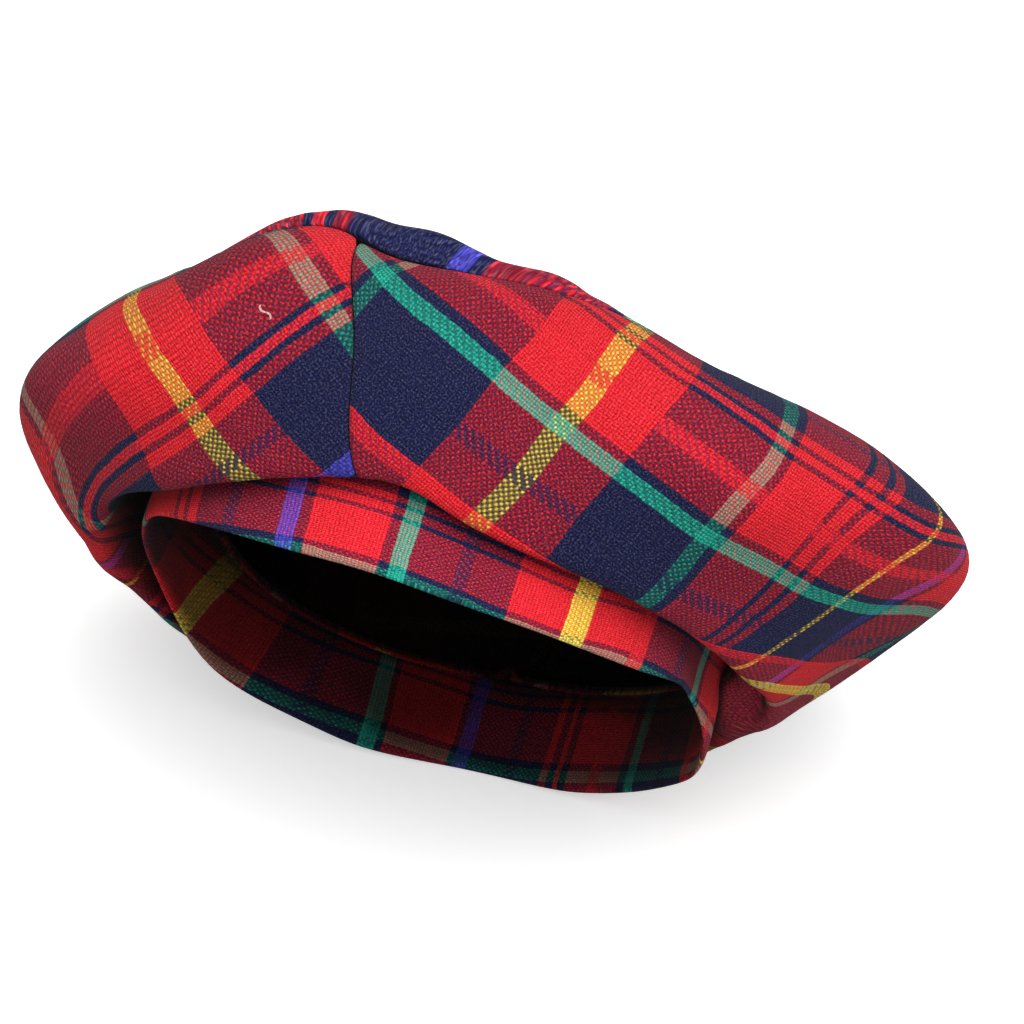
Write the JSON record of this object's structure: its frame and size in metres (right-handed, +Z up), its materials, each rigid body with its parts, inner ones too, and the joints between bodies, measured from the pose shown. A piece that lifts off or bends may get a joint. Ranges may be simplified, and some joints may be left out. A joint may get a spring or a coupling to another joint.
{
  "type": "soft tartan cap",
  "caption": "Soft peakless tartan cap lying tipped back, with a puffed crown of two side panels and a top panel gathered over a head band, open underneath for the head.",
  "frame": {"origin": "middle of the bounding box on the floor under the cap", "axes": "+X across the cap to the right panel's tip, +Z up from the floor, -Y the way that the head opening faces"},
  "size_m": [0.3132, 0.2328, 0.2154],
  "materials": {
    "tartan": "woven wool tartan in red, navy, green, yellow and blue"
  },
  "bodies": {
    "root": {"crown_top": "tartan", "side_left": "tartan", "side_right": "tartan", "band": "tartan"}
  },
  "joints": []
}
